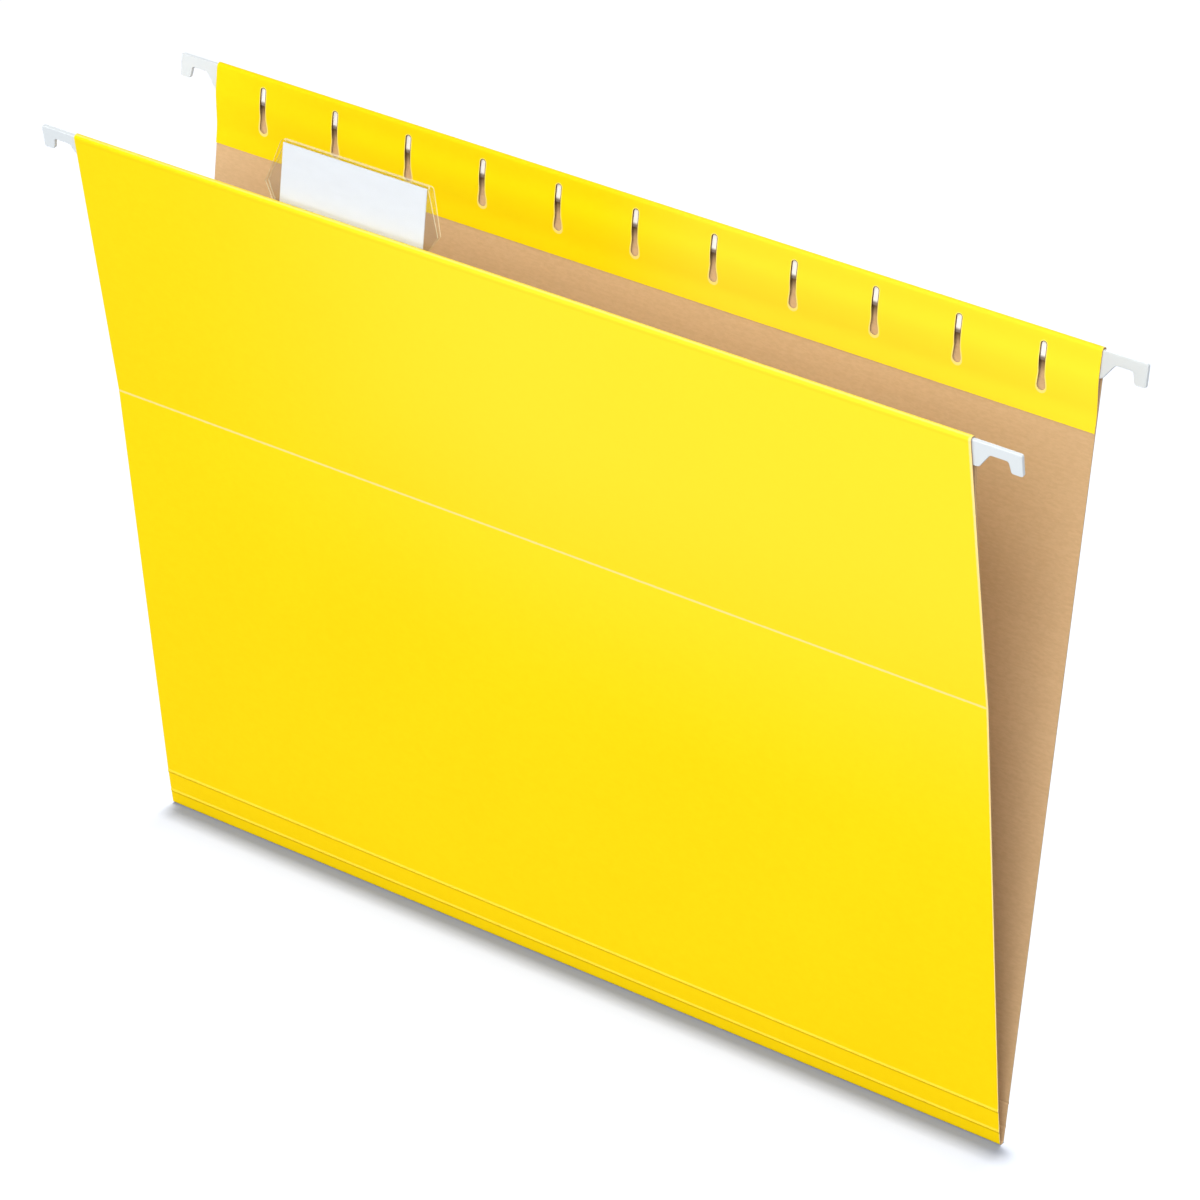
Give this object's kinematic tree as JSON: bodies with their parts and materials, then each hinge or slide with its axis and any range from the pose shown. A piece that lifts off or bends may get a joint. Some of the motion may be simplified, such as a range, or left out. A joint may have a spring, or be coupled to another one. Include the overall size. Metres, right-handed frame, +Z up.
{
  "type": "hanging file folder",
  "caption": "Open letter-size hanging folder of scored board, with hooked hanger rods in its slotted top hems and a clear index tab with a blank paper insert.",
  "frame": {"origin": "under the middle of the bottom fold, at the lowest point of the folder", "axes": "+X along the rods, to the right as seen from the front; -Y is the front, +Y the rear; +Z is up"},
  "size_m": [0.327, 0.0639, 0.2495],
  "materials": {
    "board": "yellow board outside, plain kraft inside",
    "rod_coating": "white coated steel strip",
    "clear_plastic": "clear folded sheet",
    "insert_paper": "plain white card"
  },
  "bodies": {
    "rear_leaf": {"rear_panel": "board", "rear_hanger_rod": "rod_coating"},
    "rear_strip": {"rear_bottom_strip": "board", "bottom_fold_ridge": "board"},
    "front_strip": {"front_bottom_strip": "board"},
    "front_lower": {"front_lower_panel": "board"},
    "front_upper": {"front_upper_panel": "board", "front_hanger_rod": "rod_coating", "index_tab": "clear_plastic"},
    "insert": {"tab_insert": "insert_paper"}
  },
  "joints": [
    {"name": "rear_box_score", "type": "hinge", "parent": "rear_leaf", "child": "rear_strip", "pos_m": [0, 0.00238, 0.01234], "axis": [1, 0, 0], "range_deg": [0, 60]},
    {"name": "bottom_fold", "type": "hinge", "parent": "rear_strip", "child": "front_strip", "pos_m": [0, -0.00075, 0.00015], "axis": [1, 0, 0], "range_deg": [-12, 165]},
    {"name": "front_box_score", "type": "hinge", "parent": "front_strip", "child": "front_lower", "pos_m": [0, -0.0025, 0.01233], "axis": [1, 0, 0], "range_deg": [0, 60]},
    {"name": "mid_fold", "type": "hinge", "parent": "front_lower", "child": "front_upper", "pos_m": [0, -0.01755, 0.14744], "axis": [1, 0, 0], "range_deg": [-3, 140]},
    {"name": "insert_slide", "type": "slide", "parent": "front_upper", "child": "insert", "axis": [1, 0, 0], "range_m": [-0.05, 0.05]}
  ]
}
